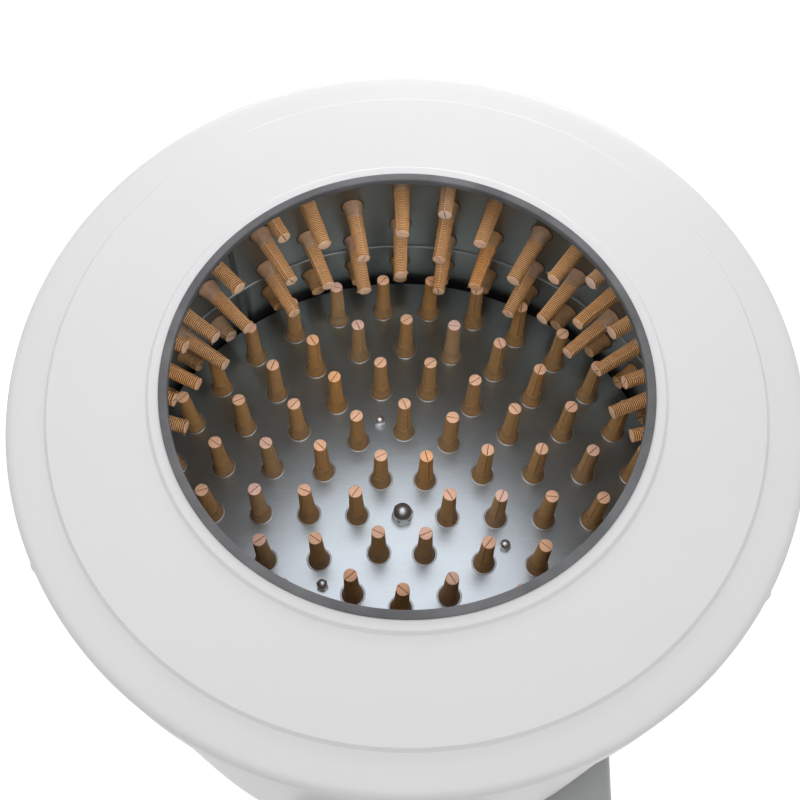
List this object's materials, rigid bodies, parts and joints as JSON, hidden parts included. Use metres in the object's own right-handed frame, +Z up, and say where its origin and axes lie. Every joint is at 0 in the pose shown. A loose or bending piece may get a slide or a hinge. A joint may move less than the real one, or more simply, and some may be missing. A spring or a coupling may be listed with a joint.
{
  "type": "poultry plucker",
  "caption": "Drum poultry plucker: ribbed rubber fingers line a round drum and a turning plate under a white cover, on a wheeled stand with a belt drive.",
  "frame": {"origin": "on the floor under the drive shaft, at the middle of the machine", "axes": "+Z up along the drive shaft, -Y towards the feather chute, +X to the right seen from the chute"},
  "size_m": [0.6224, 0.8244, 0.886],
  "materials": {
    "white_cover": "satin white moulded cover",
    "white_shell": "white powder coat",
    "trim_rubber": "grey rubber edge trim",
    "screw_steel": "zinc plated screws",
    "drum_steel": "stainless sheet, fine mill grain",
    "finger_rubber": "tan moulded natural rubber",
    "plate_steel": "stainless sheet, brushed",
    "nut_chrome": "bright plated nuts",
    "bolt_steel": "zinc plated bolts",
    "carrier_iron": "machined cast iron",
    "sweeper_rubber": "black rubber blade",
    "shaft_steel": "turned steel",
    "frame_paint": "grey powder coat",
    "motor_paint": "blue-grey motor enamel",
    "belt_rubber": "black V-belt",
    "grip_rubber": "black rubber",
    "black_plastic": "black nylon",
    "wheel_plastic": "grey moulded wheel",
    "tyre_rubber": "solid rubber tyre",
    "switch_plastic": "light grey enclosure",
    "start_green": "green push button",
    "stop_red": "red mushroom button"
  },
  "bodies": {
    "machine": {"top_cover": "white_cover", "outer_shell": "white_shell", "edge_trim": "trim_rubber", "cover_screws": "screw_steel", "shell_screws": "screw_steel", "drum_upper": "drum_steel", "drum_lower": "drum_steel", "wall_stubs": "finger_rubber", "wall_fingers_1": "finger_rubber", "wall_fingers_2": "finger_rubber", "wall_fingers_3": "finger_rubber", "wall_fingers_4": "finger_rubber", "wall_fingers_5": "finger_rubber", "feather_pan": "plate_steel", "feather_chute": "plate_steel", "bearing_bolts": "bolt_steel", "upper_bearing": "carrier_iron", "lower_bearing": "carrier_iron", "axle": "shaft_steel", "base_ring": "frame_paint", "front_legs": "frame_paint", "rear_legs": "frame_paint", "side_rails": "frame_paint", "cross_rails": "frame_paint", "upper_beam": "frame_paint", "lower_beam": "frame_paint", "motor_plate": "frame_paint", "push_handle": "frame_paint", "motor_housing": "motor_paint", "motor_fan_cover": "motor_paint", "terminal_box": "motor_paint", "drive_belt": "belt_rubber", "handle_grip": "grip_rubber", "rubber_feet": "grip_rubber", "axle_caps": "black_plastic", "cable_gland": "black_plastic", "switch_box": "switch_plastic"},
    "plate_rotor": {"feather_plate": "plate_steel", "plate_fingers_1": "finger_rubber", "plate_fingers_2": "finger_rubber", "plate_fingers_3": "finger_rubber", "plate_fingers_4": "finger_rubber", "plate_fingers_5": "finger_rubber", "plate_carrier": "carrier_iron", "plate_bolts": "bolt_steel", "dome_nuts": "nut_chrome", "shaft_cap_nut": "nut_chrome", "feather_sweepers": "sweeper_rubber", "drive_shaft": "shaft_steel", "driven_pulley": "carrier_iron"},
    "motor_rotor": {"motor_shaft": "shaft_steel", "motor_pulley": "carrier_iron"},
    "left_wheel": {"wheel_left": "wheel_plastic", "tyre_left": "tyre_rubber"},
    "right_wheel": {"wheel_right": "wheel_plastic", "tyre_right": "tyre_rubber"},
    "start_key": {"start_button": "start_green"},
    "stop_key": {"stop_button": "stop_red"}
  },
  "joints": [
    {"name": "plate_spin", "type": "hinge", "parent": "machine", "child": "plate_rotor", "pos_m": [0, 0, 0.4], "axis": [0, 0, 1], "continuous": true},
    {"name": "motor_spin", "type": "hinge", "parent": "machine", "child": "motor_rotor", "pos_m": [0, 0.215, 0.3], "axis": [0, 0, 1], "continuous": true},
    {"name": "left_wheel_spin", "type": "hinge", "parent": "machine", "child": "left_wheel", "pos_m": [-0.235, 0.19474, 0.08], "axis": [1, 0, 0], "continuous": true},
    {"name": "right_wheel_spin", "type": "hinge", "parent": "machine", "child": "right_wheel", "pos_m": [0.235, 0.19474, 0.08], "axis": [1, 0, 0], "continuous": true},
    {"name": "start_press", "type": "slide", "parent": "machine", "child": "start_key", "axis": [0, 1, 0], "range_m": [0, 0.004], "stiffness_N_per_m": 600, "springref_m": -0.003},
    {"name": "stop_press", "type": "slide", "parent": "machine", "child": "stop_key", "axis": [0, 1, 0], "range_m": [0, 0.004], "stiffness_N_per_m": 600, "springref_m": -0.003}
  ],
  "couplings": [
    {"joint": "motor_spin", "follows": "plate_spin", "ratio": 5.7059}
  ]
}
